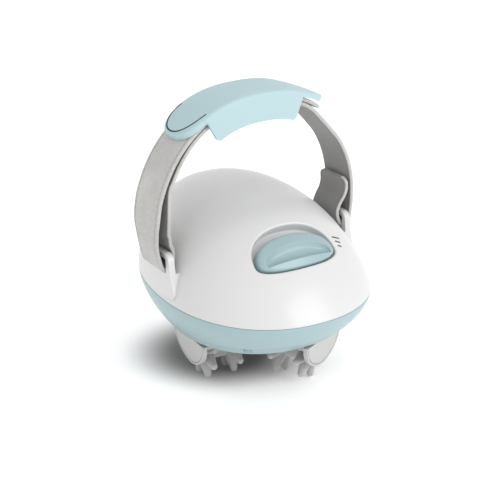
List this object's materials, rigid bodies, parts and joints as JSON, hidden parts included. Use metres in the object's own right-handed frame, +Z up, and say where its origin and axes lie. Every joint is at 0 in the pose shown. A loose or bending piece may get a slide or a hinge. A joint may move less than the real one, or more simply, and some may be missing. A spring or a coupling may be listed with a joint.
{
  "type": "anti-cellulite massager",
  "caption": "Hand-held egg-shaped body massager with a hand strap and padded grip, slide switch, geared rotor and finger rollers on its underside.",
  "frame": {"origin": "on the plane that the finger tips stand on, below the middle of the whole (the middle of the housing's width and length, which the strap moves by less than 1 mm)", "axes": "+Z up through the hand grip, front of the housing with the switch toward -Y, power inlet toward +Y"},
  "size_m": [0.1308, 0.1377, 0.1598],
  "materials": {
    "white_plastic": "gloss",
    "blue_plastic": "satin",
    "frosted_plastic": "satin",
    "finger_rubber": "satin",
    "webbing": "woven",
    "grip_foam": "satin",
    "steel": "satin",
    "magnet": "matte",
    "bronze": "satin",
    "nylon": "matte",
    "black_plastic": "matte",
    "board": "matte"
  },
  "bodies": {
    "housing": {"upper_shell": "white_plastic", "lower_shell": "blue_plastic", "base_ring": "blue_plastic", "shell_screws": "steel", "gear_chassis": "nylon", "motor_plate": "nylon", "chassis_screws": "steel", "pillar_screws": "steel", "output_bushes": "bronze", "gear_axles": "steel", "motor_can": "steel", "motor_magnets": "magnet", "motor_end_cap": "black_plastic", "motor_screws": "steel", "circuit_board": "board", "slide_switch": "steel", "dc_jack": "black_plastic", "jack_pin": "steel", "hand_strap": "webbing", "hand_grip": "grip_foam"},
    "switch": {"switch_knob": "blue_plastic", "switch_stem": "black_plastic"},
    "motor_rotor": {"motor_shaft": "steel", "motor_armature": "bronze", "motor_pinion": "bronze"},
    "first_gear_body": {"first_gear": "nylon"},
    "second_gear_body": {"second_gear": "nylon"},
    "rotor": {"output_gear": "nylon", "output_shaft": "steel", "rotor_disc": "frosted_plastic", "rotor_screw": "steel", "arm_caps": "frosted_plastic", "roller_axles": "steel"},
    "roller_1": {"roller_1_core": "white_plastic", "roller_1_fingers": "finger_rubber"},
    "roller_2": {"roller_2_core": "white_plastic", "roller_2_fingers": "finger_rubber"},
    "roller_3": {"roller_3_core": "white_plastic", "roller_3_fingers": "finger_rubber"}
  },
  "joints": [
    {"name": "switch_slide", "type": "slide", "parent": "housing", "child": "switch", "axis": [0, 0.766, 0.6428], "range_m": [0, 0.0045]},
    {"name": "rotor_spin", "type": "hinge", "parent": "housing", "child": "rotor", "pos_m": [0, -0.00645, 0.0256], "axis": [0, 0, 1], "continuous": true},
    {"name": "second_gear_spin", "type": "hinge", "parent": "housing", "child": "second_gear_body", "pos_m": [-0.02598, 0.00855, 0.045], "axis": [0, 0, 1], "continuous": true},
    {"name": "first_gear_spin", "type": "hinge", "parent": "housing", "child": "first_gear_body", "pos_m": [-0.00284, 0.02246, 0.052], "axis": [0, 0, 1], "continuous": true},
    {"name": "motor_spin", "type": "hinge", "parent": "housing", "child": "motor_rotor", "pos_m": [0.01456, 0.00313, 0.062], "axis": [0, 0, 1], "continuous": true},
    {"name": "roller_1_spin", "type": "hinge", "parent": "rotor", "child": "roller_1", "pos_m": [-0.02585, -0.00371, 0.01734], "axis": [-0.9944, 0.1054, 0], "continuous": true},
    {"name": "roller_2_spin", "type": "hinge", "parent": "rotor", "child": "roller_2", "pos_m": [0.01055, -0.03021, 0.01734], "axis": [0.4059, -0.9139, 0], "continuous": true},
    {"name": "roller_3_spin", "type": "hinge", "parent": "rotor", "child": "roller_3", "pos_m": [0.0153, 0.01457, 0.01734], "axis": [0.5885, 0.8085, 0], "continuous": true}
  ],
  "couplings": [
    {"joint": "second_gear_spin", "follows": "rotor_spin", "ratio": -4},
    {"joint": "first_gear_spin", "follows": "rotor_spin", "ratio": 14},
    {"joint": "motor_spin", "follows": "rotor_spin", "ratio": -46.667}
  ]
}
